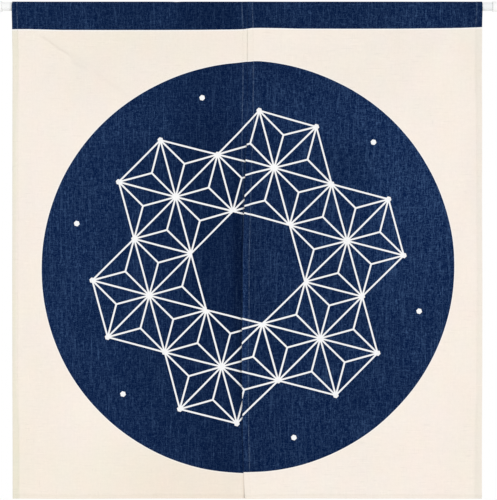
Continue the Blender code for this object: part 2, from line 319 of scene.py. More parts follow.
class Panel:
    """The grid of one panel: P[column, row] is the cloth's middle, N its face normal."""

    def __init__(self, name):
        self.name = name
        self.sign = -1.0 if name == "left" else 1.0
        width = CLOTH_WIDTH / 2 - SEAM_GAP / 2
        self.width = width
        c, from_inner, from_outer, depth_u = columns(width)
        sy, sz = section_rows()
        # rows of the bottom hem: strip behind, fold, then the section
        r0 = LAYER / 2
        strip = np.linspace(BOTTOM_HEM, 0.0008, 4)
        turns = math.pi * (1 - np.arange(6) / 5)
        n_low = len(strip) + len(turns)
        seg = np.hypot(np.diff(sy), np.diff(sz))
        s_up = sz[0] - BOTTOM_Z + np.concatenate([[0], np.cumsum(seg)])
        s = np.concatenate([-strip - math.pi * r0 / 2, -(turns - math.pi / 2) * r0, s_up])
        self.c, self.s = c, s
        nc, ns = len(c), len(s)
        in_hem = np.minimum(np.abs(c), np.abs(width - c))
        hem_side = ease((SIDE_HEM + 0.0045 - in_hem) / 0.0045)  # 1 where the side hem is behind
        # the bottom hem folds round all the layers, more of them at the side hems
        turn_r = r0 * (1 + 2 * hem_side)
        depth, z0 = np.zeros((nc, ns)), np.zeros((nc, ns))
        depth[:, n_low:] = depth_u[:, None]
        for j, t in enumerate(strip):
            z0[:, j] = BOTTOM_Z + turn_r + t
            depth[:, j] = 2 * turn_r - depth_u
        for k, a in enumerate(turns):
            j = len(strip) + k
            z0[:, j] = BOTTOM_Z + turn_r - (turn_r - depth_u) * math.sin(a)
            depth[:, j] = turn_r - (turn_r - depth_u) * math.cos(a)
        y0 = np.full((nc, ns), -POCKET_LAYER)
        y0[:, n_low:] = sy
        z0[:, n_low:] = sz
        # the way in from the face: straight back on the body, to the rod in the pocket
        ty = np.gradient(np.concatenate([np.full(n_low, sy[0]), sy]))
        tz = np.gradient(np.concatenate([sz[0] - np.arange(n_low, 0, -1) * 0.001, sz]))
        size = np.hypot(ty, tz)
        body = np.arange(ns) < ns - POCKET_ROWS
        self.n_low, self.n_body = n_low, int(body.sum())
        ny = np.where(body, 1.0, tz / size)
        nz = np.where(body, 0.0, -ty / size)
        # two hems meet where the pocket is stitched, so its back flap stands off there
        row = np.arange(ns)
        flap = ease((row - (ns - 12)) / 11.0)
        y0 = y0 + hem_side[:, None] * flap[None, :] * 0.00066
        inner, outer = edge_places(name, z0)
        share = ease(c / width)[:, None] + z0 * 0
        share = np.where(np.isnan(from_inner)[:, None], 1.0, np.where(np.isnan(from_outer)[:, None], 0.0, share))
        x_in = inner + self.sign * np.nan_to_num(from_inner, nan=0.0)[:, None]
        x_out = outer - self.sign * np.nan_to_num(from_outer, nan=0.0)[:, None]
        x = x_in * (1 - share) + x_out * share
        y = y0 + depth * ny
        z = z0 + depth * nz
        y = y + np.where(body[None, :], sway(name, x, z0), 0.0)
        # the pocket isn't quite even along the rod, and is pressed in at one place
        seed = 71 if name == "left" else 83
        pocket = ease((row - self.n_body) / 4.0) * ease((ns - 6 - row) / 5.0)
        swell = 0.00010 * soft_noise(x / 0.045, z0 * 0 + 0.5, seed) - 0.00006
        if name == "left":
            swell = swell + 0.00048 * bell(x + 0.128, 0.0055)
        y = y + pocket * swell * ny
        z = z + pocket * swell * nz
        # on the face the folded hem stands a little proud, with its stitches pulled in
        front = (depth_u == 0)[:, None] & (row >= n_low)[None, :]
        at_side = in_hem[:, None]
        up = s[None, :]
        proud = ease((SIDE_HEM + 0.0012 - at_side) / 0.0018) * 0.00010
        proud = np.maximum(proud, ease((BOTTOM_HEM + 0.0012 - up) / 0.0018) * 0.00010)
        inner_half = (c < width / 2)[:, None]
        self.walk = np.where(inner_half, stitch_place(name, "inner", s)[None, :], stitch_place(name, "outer", s)[None, :])
        groove = np.maximum(bell(at_side - self.walk, 0.0011), bell(up - BOTTOM_STITCH, 0.0011)) * 0.00014
        lift = np.where(front, groove - proud, 0.0)
        y = y + lift * ny
        z = z + lift * nz
        # the bottom edge isn't quite level
        drop = np.interp(x, [r["x"] for r in BOTTOM_EDGE], [r["drop"] for r in BOTTOM_EDGE])
        z = z - drop * bell(z - BOTTOM_Z, 0.030) * body[None, :]
        self.P = np.stack([x, y, z], axis=2)
        du, dv = np.gradient(self.P, axis=0), np.gradient(self.P, axis=1)
        n = np.cross(du, dv) * self.sign
        self.N = n / np.maximum(np.linalg.norm(n, axis=2, keepdims=True), 1e-15)
        self.length = s[-1] - s[0]
        self.cut = c[-1] - c[0]

    def at(self, c, s, lift=0.0):
        """Points on the face's surface, raised by lift, at flat places."""
        c, s, lift = np.broadcast_arrays(np.asarray(c, float), np.asarray(s, float), np.asarray(lift, float))
        i = np.clip(np.searchsorted(self.c, c) - 1, 0, len(self.c) - 2)
        j = np.clip(np.searchsorted(self.s, s) - 1, 0, len(self.s) - 2)
        u = ((c - self.c[i]) / (self.c[i + 1] - self.c[i]))[..., None]
        v = ((s - self.s[j]) / (self.s[j + 1] - self.s[j]))[..., None]

        def mix(a):
            return (a[i, j] * (1 - u) + a[i + 1, j] * u) * (1 - v) + (a[i, j + 1] * (1 - u) + a[i + 1, j + 1] * u) * v

        n = mix(self.N)
        n /= np.linalg.norm(n, axis=-1, keepdims=True)
        return mix(self.P) + n * (SHEET / 2 + lift[..., None]), n


# ============================================================ the print's places
BAND_EDGE = [
    # the band's lower edge: place along it, and height
    dict(x=-0.4265, z=-0.0412), dict(x=-0.4130, z=-0.0410), dict(x=-0.3935, z=-0.0410),
    dict(x=-0.3390, z=-0.0424), dict(x=-0.2670, z=-0.0426), dict(x=-0.1760, z=-0.0426),
    dict(x=-0.0855, z=-0.0423), dict(x=-0.0310, z=-0.0417), dict(x=-0.0165, z=-0.0415),
    dict(x=-0.0060, z=-0.0411), dict(x=0.0013, z=-0.0400), dict(x=0.0085, z=-0.0390),
    dict(x=0.0230, z=-0.0387), dict(x=0.0590, z=-0.0392), dict(x=0.0950, z=-0.0401),
    dict(x=0.1860, z=-0.0403), dict(x=0.2760, z=-0.0402), dict(x=0.3490, z=-0.0394),
    dict(x=0.3850, z=-0.0388), dict(x=0.4180, z=-0.0377), dict(x=0.4265, z=-0.0372),
]
BAND_Z = -0.0400
DISC_X, DISC_Z = 0.0014, -0.4706
DISC_RX, DISC_RZ = 0.3741, 0.3724
DISC_DROP = [
    # how far the disc's upper and lower halves hang below their place
    dict(x=-0.3740, top=0.0052, low=0.0050), dict(x=-0.2670, top=0.0056, low=0.0046),
    dict(x=-0.1580, top=0.0056, low=0.0044), dict(x=-0.0855, top=0.0046, low=0.0036),
    dict(x=-0.0310, top=0.0033, low=0.0025), dict(x=-0.0010, top=0.0029, low=0.0024),
    dict(x=0.0024, top=0.0003, low=0.0005), dict(x=0.0085, top=-0.0002, low=0.0003),
    dict(x=0.0270, top=0.0000, low=0.0004), dict(x=0.0950, top=0.0012, low=0.0000),
    dict(x=0.1680, top=0.0022, low=-0.0010), dict(x=0.2770, top=0.0018, low=-0.0022),
    dict(x=0.3740, top=0.0020, low=-0.0015),
]


def print_places(panel, x, z):
    """Where a point of a panel's cloth lies on the printed design. The two halves of the
    print don't quite meet at the split."""
    def along(rows, column, at):
        return np.interp(at, [r["x"] for r in rows], [r[column] for r in rows])

    own = np.minimum(x, DISC_DROP[5]["x"]) if panel == "left" else np.maximum(x, DISC_DROP[6]["x"])
    band = BAND_Z - along(BAND_EDGE, "z", x)
    low = ease((DISC_Z + 0.10 - z) / 0.20)
    disc = along(DISC_DROP, "top", own) * (1 - low) + along(DISC_DROP, "low", own) * low
    # above the split the seam holds the two halves nearly level
    sewn = ease((z + 0.240) / 0.030) * bell(x, 0.012)
    disc = disc * (1 - sewn) + DISC_DROP[5]["top"] * 0.55 * sewn
    far = ease((-0.050 - z) / 0.020)
    wander = 0.0003 * soft_noise(x / 0.060, z / 0.060, 91) * far
    slip = 0.0
    if panel == "right":
        slip = 0.0030 * ease((-0.235 - z) / 0.080) * bell(x - edge_places("right", z)[0], 0.050)
    return x + wander + slip, z + band * (1 - far) + disc * far


SHADE_AND_TONES = [
    # broad, faint painted shade together with differences in the cloth's own colour: which panel, place,
    # reach, and how much of each of red, green and blue is lost in the middle
    dict(on="left", x=-0.100, z=-0.905, wide=0.165, tall=0.095, r=0.034, g=0.068, b=0.108),
    dict(on="left", x=-0.175, z=-0.820, wide=0.120, tall=0.050, r=0.026, g=0.008, b=0.034),
    dict(on="left", x=-0.300, z=-0.860, wide=0.100, tall=0.060, r=0.010, g=-0.004, b=0.018),
    dict(on="left", x=-0.190, z=-0.105, wide=0.160, tall=0.080, r=0.036, g=0.033, b=0.040),
    dict(on="left", x=-0.200, z=-0.060, wide=0.200, tall=0.050, r=0.014, g=0.012, b=0.026),
    dict(on="left", x=-0.308, z=-0.135, wide=0.060, tall=0.050, r=0.018, g=0.014, b=0.016),
    dict(on="left", x=-0.040, z=-0.860, wide=0.050, tall=0.030, r=0.012, g=0.008, b=0.014),
    dict(on="left", x=-0.010, z=-0.856, wide=0.014, tall=0.011, r=0.036, g=0.036, b=0.050),
    dict(on="left", x=-0.270, z=-0.820, wide=0.170, tall=0.070, r=0.010, g=0.010, b=0.012),
    dict(on="left", x=-0.240, z=-0.870, wide=0.070, tall=0.050, r=0.007, g=0.008, b=0.012),
    dict(on="left", x=-0.150, z=-0.820, wide=0.030, tall=0.024, r=0.000, g=0.002, b=0.012),
    dict(on="left", x=-0.040, z=-0.050, wide=0.050, tall=0.020, r=0.009, g=0.009, b=0.009),
    dict(on="left", x=-0.270, z=-0.052, wide=0.110, tall=0.034, r=0.010, g=0.007, b=0.018),
    dict(on="left", x=-0.040, z=-0.072, wide=0.090, tall=0.030, r=0.010, g=0.008, b=0.014),
    dict(on="left", x=-0.395, z=-0.840, wide=0.060, tall=0.100, r=0.004, g=0.002, b=0.020),
    dict(on="left", x=-0.385, z=-0.690, wide=0.050, tall=0.110, r=0.005, g=0.005, b=0.015),
    dict(on="left", x=-0.421, z=-0.500, wide=0.030, tall=0.600, r=0.006, g=0.002, b=0.008),
    dict(on="left", x=-0.415, z=-0.830, wide=0.020, tall=0.090, r=0.010, g=0.006, b=0.030),
    dict(on="right", x=0.130, z=-0.078, wide=0.180, tall=0.075, r=0.020, g=0.014, b=0.016),
    dict(on="right", x=0.260, z=-0.085, wide=0.110, tall=0.060, r=0.020, g=0.016, b=0.016),
    dict(on="right", x=0.260, z=-0.160, wide=0.060, tall=0.050, r=0.020, g=0.016, b=0.012),
    dict(on="right", x=0.340, z=-0.060, wide=0.070, tall=0.040, r=0.010, g=0.008, b=0.008),
    dict(on="right", x=0.402, z=-0.090, wide=0.035, tall=0.080, r=0.026, g=0.018, b=0.032),
    dict(on="right", x=0.400, z=-0.790, wide=0.034, tall=0.180, r=0.016, g=0.010, b=0.028),
    dict(on="right", x=0.205, z=-0.790, wide=0.080, tall=0.050, r=0.012, g=0.010, b=0.012),
    dict(on="right", x=0.335, z=-0.600, wide=0.060, tall=0.140, r=-0.010, g=-0.010, b=-0.010),
    dict(on="right", x=0.250, z=-0.850, wide=0.220, tall=0.070, r=0.009, g=0.010, b=0.009),
    dict(on="right", x=0.075, z=-0.096, wide=0.045, tall=0.030, r=0.012, g=0.010, b=0.012),
    dict(on="right", x=0.180, z=-0.150, wide=0.040, tall=0.030, r=0.013, g=0.011, b=0.012),
    dict(on="right", x=0.285, z=-0.048, wide=0.040, tall=0.020, r=0.010, g=0.010, b=0.009),
]
INK_AND_PAINTED_LIGHT = [
    # how much lighter the navy print is in places
    dict(x=-0.330, z=-0.440, wide=0.110, tall=0.340, more=0.16),
    dict(x=-0.060, z=-0.300, wide=0.075, tall=0.700, more=-0.15),
    dict(x=0.320, z=-0.330, wide=0.110, tall=0.260, more=0.26),
    dict(x=0.160, z=-0.450, wide=0.100, tall=0.400, more=0.04),
    dict(x=-0.300, z=-0.010, wide=0.150, tall=0.050, more=-0.02),
    dict(x=0.000, z=-0.170, wide=0.240, tall=0.070, more=0.10),
    # beside the split: a painted highlight along the right panel's turned edge, and the painted shadow that edge casts
    # on the left panel's cloth
    dict(x=-0.0030, z=-0.560, wide=0.0062, tall=0.260, more=0.34),
    dict(x=-0.0180, z=-0.480, wide=0.0090, tall=0.190, more=-0.20),
]


def shade_and_tones(panel, x, z):
    out = np.ones(x.shape + (3,))
    for row in SHADE_AND_TONES:
        if row["on"] != panel:
            continue
        m = np.exp(-(((x - row["x"]) / row["wide"]) ** 2) - ((z - row["z"]) / row["tall"]) ** 2)
        out *= 1 - m[..., None] * np.array([row["r"], row["g"], row["b"]])
    patch = 0.006 * soft_noise(x / 0.045, z / 0.060, 101) + 0.005 * soft_noise(x / 0.018, z / 0.024, 102)
    warm = 0.007 * soft_noise(x / 0.030, z / 0.036, 103) + 0.004 * soft_noise(x / 0.013, z / 0.015, 104)
    green = 0.006 * soft_noise(x / 0.038, z / 0.046, 105) + 0.004 * soft_noise(x / 0.015, z / 0.018, 106)
    return out * (1 + patch)[..., None] * np.stack([1 + warm - green, 1 + green, 1 - warm * 1.5 - green * 0.5], axis=-1)


HEM_TONE = {
    # the double layer at each outer hem looks denser: z, full width of it, where it ends
    "left": [
        dict(z=-0.030, full=0.0100, end=0.0122), dict(z=-0.150, full=0.0094, end=0.0124),
        dict(z=-0.200, full=0.0040, end=0.0112), dict(z=-0.500, full=0.0034, end=0.0108),
        dict(z=-0.700, full=0.0040, end=0.0120), dict(z=-0.760, full=0.0104, end=0.0140),
        dict(z=BOTTOM_Z, full=0.0112, end=0.0142),
    ],
    "right": [
        dict(z=-0.030, full=0.0110, end=0.0150), dict(z=-0.150, full=0.0100, end=0.0150),
        dict(z=-0.220, full=0.0072, end=0.0116), dict(z=-0.500, full=0.0066, end=0.0112),
        dict(z=-0.700, full=0.0070, end=0.0130), dict(z=-0.760, full=0.0100, end=0.0160),
        dict(z=BOTTOM_Z, full=0.0106, end=0.0168),
    ],
}
HEM_SHADE = {"left": (0.918, 0.948, 0.905), "right": (0.940, 0.957, 0.948)}


def hem_tone(grid):
    rows = HEM_TONE[grid.name][::-1]
    z = grid.s[None, :] + BOTTOM_Z
    full = np.interp(z, [r["z"] for r in rows], [r["full"] for r in rows])
    end = np.interp(z, [r["z"] for r in rows], [r["end"] for r in rows])
    m = 1.0 - ease((grid.width - grid.c[:, None] - full) / (end - full))
    return 1.0 - m[..., None] * (1.0 - np.array(HEM_SHADE[grid.name]))


def ink_and_painted_light(x, z):
    out = np.zeros(x.shape)
    for row in INK_AND_PAINTED_LIGHT:
        out += row["more"] * np.exp(-(((x - row["x"]) / row["wide"]) ** 2) - ((z - row["z"]) / row["tall"]) ** 2)
    return out + 0.05 * soft_noise(x / 0.050, z / 0.070, 111)


# ============================================================ meshes
def new_object(name, verts, faces, materials=()):
    mesh = bpy.data.meshes.new(name)
    mesh.from_pydata([tuple(v) for v in verts], [], [tuple(f) for f in faces])
    for m in materials:
        mesh.materials.append(m)
    obj = bpy.data.objects.new(name, mesh)
    bpy.context.scene.collection.objects.link(obj)
    return obj


def vector_attribute(mesh, name, values):
    a = mesh.attributes.new(name, "FLOAT_VECTOR", "POINT")
    a.data.foreach_set("vector", np.asarray(values, np.float32).ravel())


def build_panel(grid, face, back):
    nc, ns = grid.P.shape[:2]
    count = nc * ns
    front = (grid.P + grid.N * SHEET / 2).reshape(-1, 3)
    rear = (grid.P - grid.N * SHEET / 2).reshape(-1, 3)
    i, j = np.meshgrid(np.arange(nc - 1), np.arange(ns - 1), indexing="ij")
    a = (i * ns + j).ravel()
    b, c, d = a + ns, a + ns + 1, a + 1
    quad = np.stack([a, b, c, d], axis=1)
    if grid.sign < 0:
        quad = quad[:, ::-1]
    rims = []
    for ring, flip in (
        (np.arange(ns), False),  # inner edge of the strip
        (np.arange(ns) + (nc - 1) * ns, True),
        (np.arange(nc) * ns, True),
        (np.arange(nc) * ns + ns - 1, False),
    ):
        p, q = ring[:-1], ring[1:]
        side = np.stack([p, q, q + count, p + count], axis=1)
        if flip != (grid.sign < 0):
            side = side[:, ::-1]
        rims.append(side)
    faces = np.concatenate([quad, quad[:, ::-1] + count] + rims)
    obj = new_object("panel_cloth_" + grid.name, np.concatenate([front, rear]), faces, (face, back))
    mesh = obj.data
    which = np.zeros(len(faces), np.int32)
    which[len(quad):2 * len(quad)] = 1
    mesh.polygons.foreach_set("material_index", which)
    # places on the flat cloth, and on the print
    flat = np.stack(np.broadcast_arrays(grid.c[:, None], grid.s[None, :], grid.walk), axis=2).reshape(-1, 3)
    vector_attribute(mesh, "flat_at", np.concatenate([flat, flat]))
    px, pz = print_places(grid.name, grid.P[..., 0].ravel(), grid.P[..., 2].ravel())
    on_print = np.stack([px, ink_and_painted_light(px, pz), pz], axis=1)
    vector_attribute(mesh, "print_at", np.concatenate([on_print, on_print]))
    # painted shade and colour tone of the cloth, with the hems' denser look
    shade_and_tone = shade_and_tones(grid.name, grid.P[..., 0].ravel(), grid.P[..., 2].ravel()) * hem_tone(grid).reshape(-1, 3)
    vector_attribute(mesh, "shade_and_tone", np.concatenate([shade_and_tone, shade_and_tone]))
    # a map of the sheet laid flat, face on the left half and back on the right
    u = (flat[:, 0] - grid.c[0]) / (grid.c[-1] - grid.c[0])
    v = (flat[:, 1] - grid.s[0]) / (grid.s[-1] - grid.s[0])
    uv = np.zeros((len(faces), 4, 2))
    n = len(quad)
    uv[:n, :, 0], uv[:n, :, 1] = 0.002 + 0.486 * u[faces[:n]], 0.002 + 0.996 * v[faces[:n]]
    back_ids = faces[n:2 * n] - count
    uv[n:2 * n, :, 0], uv[n:2 * n, :, 1] = 0.498 + 0.486 * u[back_ids], 0.002 + 0.996 * v[back_ids]
    at = 2 * n
    for k, rim in enumerate(rims):
        m = len(rim)
        t0, t1 = np.arange(m) / m, (np.arange(m) + 1) / m
        left, right = 0.9865 + 0.0034 * k, 0.9865 + 0.0034 * k + 0.0022
        order = np.array([[left, 0], [left, 1], [right, 1], [right, 0]])
        flipped = (k in (1, 2)) != (grid.sign < 0)
        if flipped:
            order = order[::-1]
        uv[at:at + m, :, 0] = order[None, :, 0]
        uv[at:at + m, :, 1] = np.where(order[None, :, 1] > 0.5, t1[:, None], t0[:, None]) * 0.996 + 0.002
        at += m
    layer = mesh.uv_layers.new(name="OFBake")
    layer.data.foreach_set("uv", uv.astype(np.float32).ravel())
    mesh.update()
    mesh.shade_smooth()
    mesh.set_sharp_from_angle(angle=math.radians(55))
    return obj


def thread_run(lines, radius, sides=6):
    """Tubes along lines of points: lines is (stitch, ring, 3) with a normal each."""
    p, n = lines
    count, rings = p.shape[:2]
    t = np.gradient(p, axis=1)
    t /= np.linalg.norm(t, axis=2, keepdims=True)
    b = np.cross(t, n)
    b /= np.linalg.norm(b, axis=2, keepdims=True)
    up = np.cross(b, t)
    a = 2 * math.pi * np.arange(sides) / sides
    ring = p[:, :, None, :] + radius * (b[:, :, None, :] * np.cos(a)[None, None, :, None] + up[:, :, None, :] * np.sin(a)[None, None, :, None])
    base = (np.arange(count) * rings * sides)[:, None, None]
    r = np.arange(rings - 1)[None, :, None] * sides
    k = np.arange(sides)[None, None, :]
    k2 = (k + 1) % sides
    quads = np.stack([base + r + k, base + r + k2, base + r + sides + k2, base + r + sides + k], axis=3).reshape(-1, 4)
    start = [tuple(x) for x in (base[:, 0, 0][:, None] + np.arange(sides)[::-1])]
    end = [tuple(x) for x in (base[:, 0, 0][:, None] + (rings - 1) * sides + np.arange(sides))]
    return ring.reshape(-1, 3), [tuple(q) for q in quads[:, ::1]], start + end


def make_stitches(name, panel, runs, material, radius=0.00023):
    verts, faces, backs, at = [], [], [], 0
    for (p, n), behind in runs:
        v, quads, caps = thread_run((p, n), radius)
        verts.append(v)
        faces += [tuple(x + at for x in f) for f in quads + caps]
        over = (v[:, 1] > 0.0006) & (v[:, 2] > STITCH_Z - 0.004)  # round on the pocket's back
        backs.append(np.where(over, 1.0, float(behind)))
        at += len(v)
    verts = np.concatenate(verts)
    obj = new_object(name, verts, faces, (material,))
    px, pz = print_places(panel, verts[:, 0], verts[:, 2])
    vector_attribute(obj.data, "print_at", np.stack([px, np.concatenate(backs), pz], axis=1))
    obj.data.shade_smooth()
    return obj


RISE = np.array([-0.85, 0.35, 0.62, 0.35, -0.85])  # of a thread's radius, along a stitch
ALONG = np.array([0.0, 0.16, 0.5, 0.84, 1.0])


def stitch_line(grid, edge, s, behind=False, pitch=0.0032, seed=1, radius=0.00023, wander=0.00016):
    """Stitches down a side hem, on the face or behind on the turned strip."""
    rng = np.random.default_rng(seed)
    low, high = s
    count = int((high - low) / pitch)
    start = low + (np.arange(count) + 0.10) * pitch
    run = start[:, None] + ALONG[None, :] * pitch * (0.84 + 0.05 * rng.standard_normal((count, 1)))
    inward = stitch_place(grid.name, edge, run)
    inward = inward + wander * soft_noise(start / 0.013, start * 0 + 0.5, seed)[:, None] + 0.00008 * rng.standard_normal((count, 1))
    if behind:
        inward = -inward
    side = inward if edge == "inner" else grid.width - inward
    cc, ss = np.broadcast_arrays(side, run)
    return grid.at(cc, ss, np.broadcast_to(RISE * radius, cc.shape))


def stitch_row(grid, s, c, pitch=0.0032, seed=1, radius=0.00023, wander=0.00020):
    rng = np.random.default_rng(seed)
    low, high = c
    count = int((high - low) / pitch)
    start = low + (np.arange(count) + 0.10) * pitch
    run = start[:, None] + ALONG[None, :] * pitch * (0.84 + 0.05 * rng.standard_normal((count, 1)))
    side = s + wander * soft_noise(start / 0.015, start * 0 + 0.5, seed)[:, None] + 0.00008 * rng.standard_normal((count, 1))
    cc, ss = np.broadcast_arrays(run, side)
    return grid.at(cc, ss, np.broadcast_to(RISE * radius, cc.shape))


def turned(name, outline, sides, material, where, side):
    """A turned piece about X: outline is (radius, along) pairs, side 1 or -1."""
    pts = [(r, h) for r, h in outline]
    verts, faces = [], []
    for r, h in pts:
        for k in range(sides):
            a = 2 * math.pi * k / sides
            verts.append((where + side * h, r * math.cos(a), r * math.sin(a)))
    for i in range(len(pts) - 1):
        for k in range(sides):
            k2 = (k + 1) % sides
            quad = (i * sides + k, i * sides + k2, (i + 1) * sides + k2, (i + 1) * sides + k)
            faces.append(quad if side > 0 else quad[::-1])
    first, last = len(verts), len(verts) + 1
    verts.append((where + side * pts[0][1], 0.0, 0.0))
    verts.append((where + side * pts[-1][1], 0.0, 0.0))
    for k in range(sides):
        k2 = (k + 1) % sides
        a = (first, k2, k)
        b = (last, (len(pts) - 1) * sides + k, (len(pts) - 1) * sides + k2)
        faces += [a, b] if side > 0 else [a[::-1], b[::-1]]
    obj = new_object(name, verts, faces, (material,))
    obj.data.shade_smooth()
    obj.data.set_sharp_from_angle(angle=math.radians(50))
    return obj


# ============================================================ materials
class Tree:
    """Short ways to add shader nodes."""

    def __init__(self, name, shift=0.0):
        self.shift = shift  # sets one piece's noise apart from another's
        self.material = bpy.data.materials.new(name)
        self.material.use_nodes = True
        self.nodes, self.links = self.material.node_tree.nodes, self.material.node_tree.links
        self.shader = self.nodes["Principled BSDF"]

    def put(self, socket, value):
        if isinstance(value, bpy.types.NodeSocket):
            self.links.new(value, socket)
        elif isinstance(value, (tuple, list)) and len(value) == 3 and socket.type == "RGBA":
            socket.default_value = (*value, 1.0)
        else:
            socket.default_value = value

    def math(self, op, a, b=0.0, c=0.0, clamp=False):
        n = self.nodes.new("ShaderNodeMath")
        n.operation, n.use_clamp = op, clamp
        for socket, value in zip(n.inputs, (a, b, c)):
            self.put(socket, value)
        return n.outputs[0]

    def add(self, *terms):
        out = terms[0]
        for t in terms[1:]:
            out = self.math("ADD", out, t)
        return out

    def mul(self, a, b):
        return self.math("MULTIPLY", a, b)

    def step(self, value, low, high):
        """0 below low, 1 above high, smooth between; low may be above high."""
        n = self.nodes.new("ShaderNodeMapRange")
        n.interpolation_type = "SMOOTHSTEP"
        for key, v in (("Value", value), ("From Min", low), ("From Max", high)):
            self.put(n.inputs[key], v)
        return n.outputs["Result"]

    def attribute(self, name):
        n = self.nodes.new("ShaderNodeAttribute")
        n.attribute_name = name
        return n.outputs["Vector"]

    def split(self, vector):
        n = self.nodes.new("ShaderNodeSeparateXYZ")
        self.put(n.inputs[0], vector)
        return n.outputs[0], n.outputs[1], n.outputs[2]

    def join(self, x, y, z=0.0):
        n = self.nodes.new("ShaderNodeCombineXYZ")
        for socket, value in zip(n.inputs, (x, y, z)):
            self.put(socket, value)
        return n.outputs[0]

    def noise(self, x, y, fx, fy, seed, detail=1.0, rough=0.5):
        """Noise from 0 to 1, with fx features a metre along x and fy along y."""
        n = self.nodes.new("ShaderNodeTexNoise")
        n.noise_dimensions = "3D"
        self.put(n.inputs["Vector"], self.join(self.mul(x, fx), self.mul(y, fy), float(seed) + self.shift))
        n.inputs["Scale"].default_value = 1.0
        n.inputs["Detail"].default_value = detail
        n.inputs["Roughness"].default_value = rough
        return n.outputs[0]

    def colour(self, kind, factor, a, b):
        n = self.nodes.new("ShaderNodeMix")
        n.data_type, n.blend_type = "RGBA", kind
        n.clamp_factor = True
        self.put(n.inputs[0], factor)
        self.put(n.inputs[6], a)
        self.put(n.inputs[7], b)
        return n.outputs[2]

    def bump(self, height, distance, strength=1.0):
        n = self.nodes.new("ShaderNodeBump")
        n.inputs["Strength"].default_value = strength
        n.inputs["Distance"].default_value = distance
        self.put(n.inputs["Height"], height)
        return n.outputs[0]

    def grey(self, value):
        n = self.nodes.new("ShaderNodeCombineColor")
        for socket in n.inputs:
            self.put(socket, value)
        return n.outputs[0]


STAR_EDGE = 0.1070  # a side of the hemp-leaf pattern's triangles
TURN = 15.0  # degrees the pattern is turned, so that no line of it runs down the split
LINE_WIDTH = 0.0031
RIM = 0.0045  # plain navy left at the disc's edge
DOT = 0.0046  # half the small hexagons at the lattice's other points

LEAVES = [
    # the hemp leaves drawn in the disc, a ring of them: a leaf's place on the lattice
    dict(i=1, j=1), dict(i=2, j=-1), dict(i=1, j=-2),
    dict(i=-1, j=-1), dict(i=-2, j=1), dict(i=-1, j=2),
]


def design(t, px, pz):
    """(navy, line): 1 where the cloth is printed navy, and 1 on the disc's pale lines.
    The disc has a ring of leaves of the traditional hemp-leaf pattern, each a hexagon."""
    band = t.step(pz, BAND_Z - 0.00022, BAND_Z + 0.00022)
    ex = t.math("DIVIDE", t.math("SUBTRACT", px, DISC_X), DISC_RX)
    ez = t.math("DIVIDE", t.math("SUBTRACT", pz, DISC_Z), DISC_RZ)
    far = t.math("SQRT", t.add(t.mul(ex, ex), t.mul(ez, ez)))
    disc = t.step(far, 1.0006, 0.9994)
    within = t.step(far, 1.0006 - RIM / DISC_RX, 0.9994 - RIM / DISC_RX)
    high = STAR_EDGE * math.sqrt(3) / 2
    x = t.math("SUBTRACT", px, DISC_X)
    z = t.math("SUBTRACT", pz, DISC_Z)
    across = [t.add(t.mul(x, math.cos(math.radians(120 * k + TURN)) / high),
                    t.mul(z, math.sin(math.radians(120 * k + TURN)) / high)) for k in range(3)]
    parts = [t.math("FRACT", t.math("ADD", q, 20.0)) for q in across]
    total = t.add(*parts)
    over = t.math("GREATER_THAN", total, 1.5)
    bary = []
    for f in parts:
        other = t.math("SUBTRACT", 1.0, f)
        bary.append(t.add(t.mul(f, t.math("SUBTRACT", 1.0, over)), t.mul(other, over)))
    low = t.math("MINIMUM", t.math("MINIMUM", bary[0], bary[1]), bary[2])
    top = t.math("MAXIMUM", t.math("MAXIMUM", bary[0], bary[1]), bary[2])
    mid = t.math("SUBTRACT", t.math("SUBTRACT", 1.0, low), top)
    edge = t.mul(low, high)
    spoke = t.mul(t.math("SUBTRACT", mid, low), STAR_EDGE / 2)
    away = t.math("MINIMUM", edge, spoke)
    line = t.step(away, LINE_WIDTH / 2 + 0.00025, LINE_WIDTH / 2 - 0.00025)
    nearest = None
    for row in LEAVES:
        place = (row["i"], row["j"], -row["i"] - row["j"])
        off = [t.math("ABSOLUTE", t.math("SUBTRACT", q, float(n))) for q, n in zip(across, place)]
        hexagon = t.math("MAXIMUM", t.math("MAXIMUM", off[0], off[1]), off[2])
        nearest = hexagon if nearest is None else t.math("MINIMUM", nearest, hexagon)
    reach = 1.0 + LINE_WIDTH / 2 / high
    leaf = t.step(nearest, reach + 0.003, reach - 0.003)
    dot = t.mul(t.step(t.mul(t.math("SUBTRACT", 1.0, top), high), DOT + 0.0003, DOT - 0.0003),
                t.math("SUBTRACT", 1.0, leaf))
    dot = t.mul(dot, t.mul(t.step(far, 0.93, 0.92), t.step(far, 0.30, 0.31)))
    line = t.mul(t.math("MAXIMUM", t.mul(line, leaf), dot), within)
    navy = t.math("MAXIMUM", band, disc)
    return navy, line


def print_rim(t, px, pz):
    """1 on the thin pale line of cloth that runs round the print."""
    ex = t.math("DIVIDE", t.math("SUBTRACT", px, DISC_X), DISC_RX)
    ez = t.math("DIVIDE", t.math("SUBTRACT", pz, DISC_Z), DISC_RZ)
    far = t.math("SQRT", t.add(t.mul(ex, ex), t.mul(ez, ez)))
    disc = t.step(far, 1.0 + 0.0024 / DISC_RX, 1.0 + 0.0012 / DISC_RX)
    band = t.step(pz, BAND_Z - 0.0028, BAND_Z - 0.0014)
    return t.math("MAXIMUM", t.mul(disc, 0.55), t.mul(band, 0.85))


